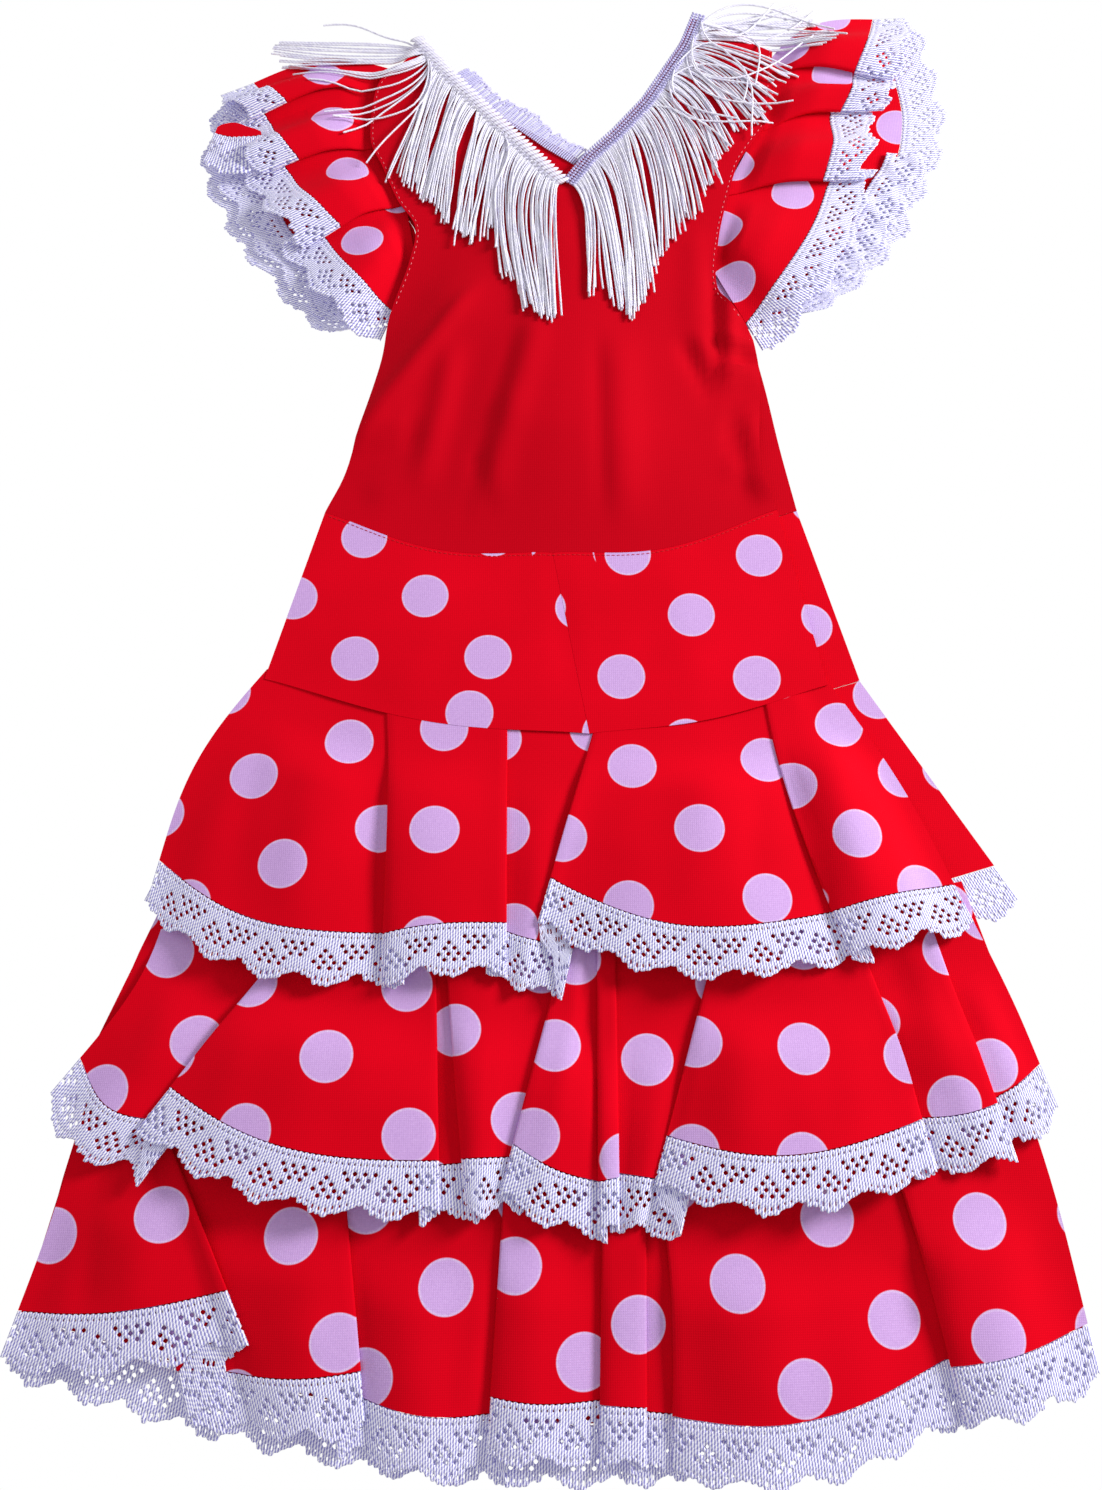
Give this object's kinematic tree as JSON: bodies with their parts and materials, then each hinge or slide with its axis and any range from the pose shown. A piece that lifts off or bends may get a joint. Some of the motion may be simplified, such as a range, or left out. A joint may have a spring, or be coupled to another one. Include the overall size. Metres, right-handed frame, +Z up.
{
  "type": "flamenco dress",
  "caption": "Child's flamenco dress laid flat, red with pale spots, flounced skirt and sleeves edged in crochet lace, fringed V neck.",
  "frame": {"origin": "centre of the bounding box on the floor that the dress lies on", "axes": "+Z up from the floor, +Y to the shoulders, +X to the right as seen from above, which is the wearer's left side"},
  "size_m": [0.5398, 0.8871, 0.0133],
  "materials": {
    "red stretch knit": "matt smooth stretch knit",
    "red spotted cotton": "matt woven cotton with pale lilac spots",
    "lilac white crochet lace": "matt cotton crochet",
    "white floss fringe": "soft sheen floss"
  },
  "bodies": {
    "root": {"bodice_back": "red stretch knit", "bodice_front": "red stretch knit", "flounce_1_back": "red spotted cotton", "flounce_1_front": "red spotted cotton", "flounce_2_back": "red spotted cotton", "flounce_2_front": "red spotted cotton", "flounce_3_back": "red spotted cotton", "flounce_3_front": "red spotted cotton", "fringe_back": "white floss fringe", "fringe_front_left": "white floss fringe", "fringe_front_right": "white floss fringe", "lace_1_back": "lilac white crochet lace", "lace_1_front": "lilac white crochet lace", "lace_2_back": "lilac white crochet lace", "lace_2_front": "lilac white crochet lace", "lace_3_back": "lilac white crochet lace", "lace_3_front": "lilac white crochet lace", "lace_sleeve_left_top": "lilac white crochet lace", "lace_sleeve_left_under": "lilac white crochet lace", "lace_sleeve_right_top": "lilac white crochet lace", "lace_sleeve_right_under": "lilac white crochet lace", "sleeve_left_top": "red spotted cotton", "sleeve_left_under": "red spotted cotton", "sleeve_right_top": "red spotted cotton", "sleeve_right_under": "red spotted cotton", "yoke_back": "red spotted cotton", "yoke_front_left": "red spotted cotton", "yoke_front_right": "red spotted cotton"}
  },
  "joints": []
}
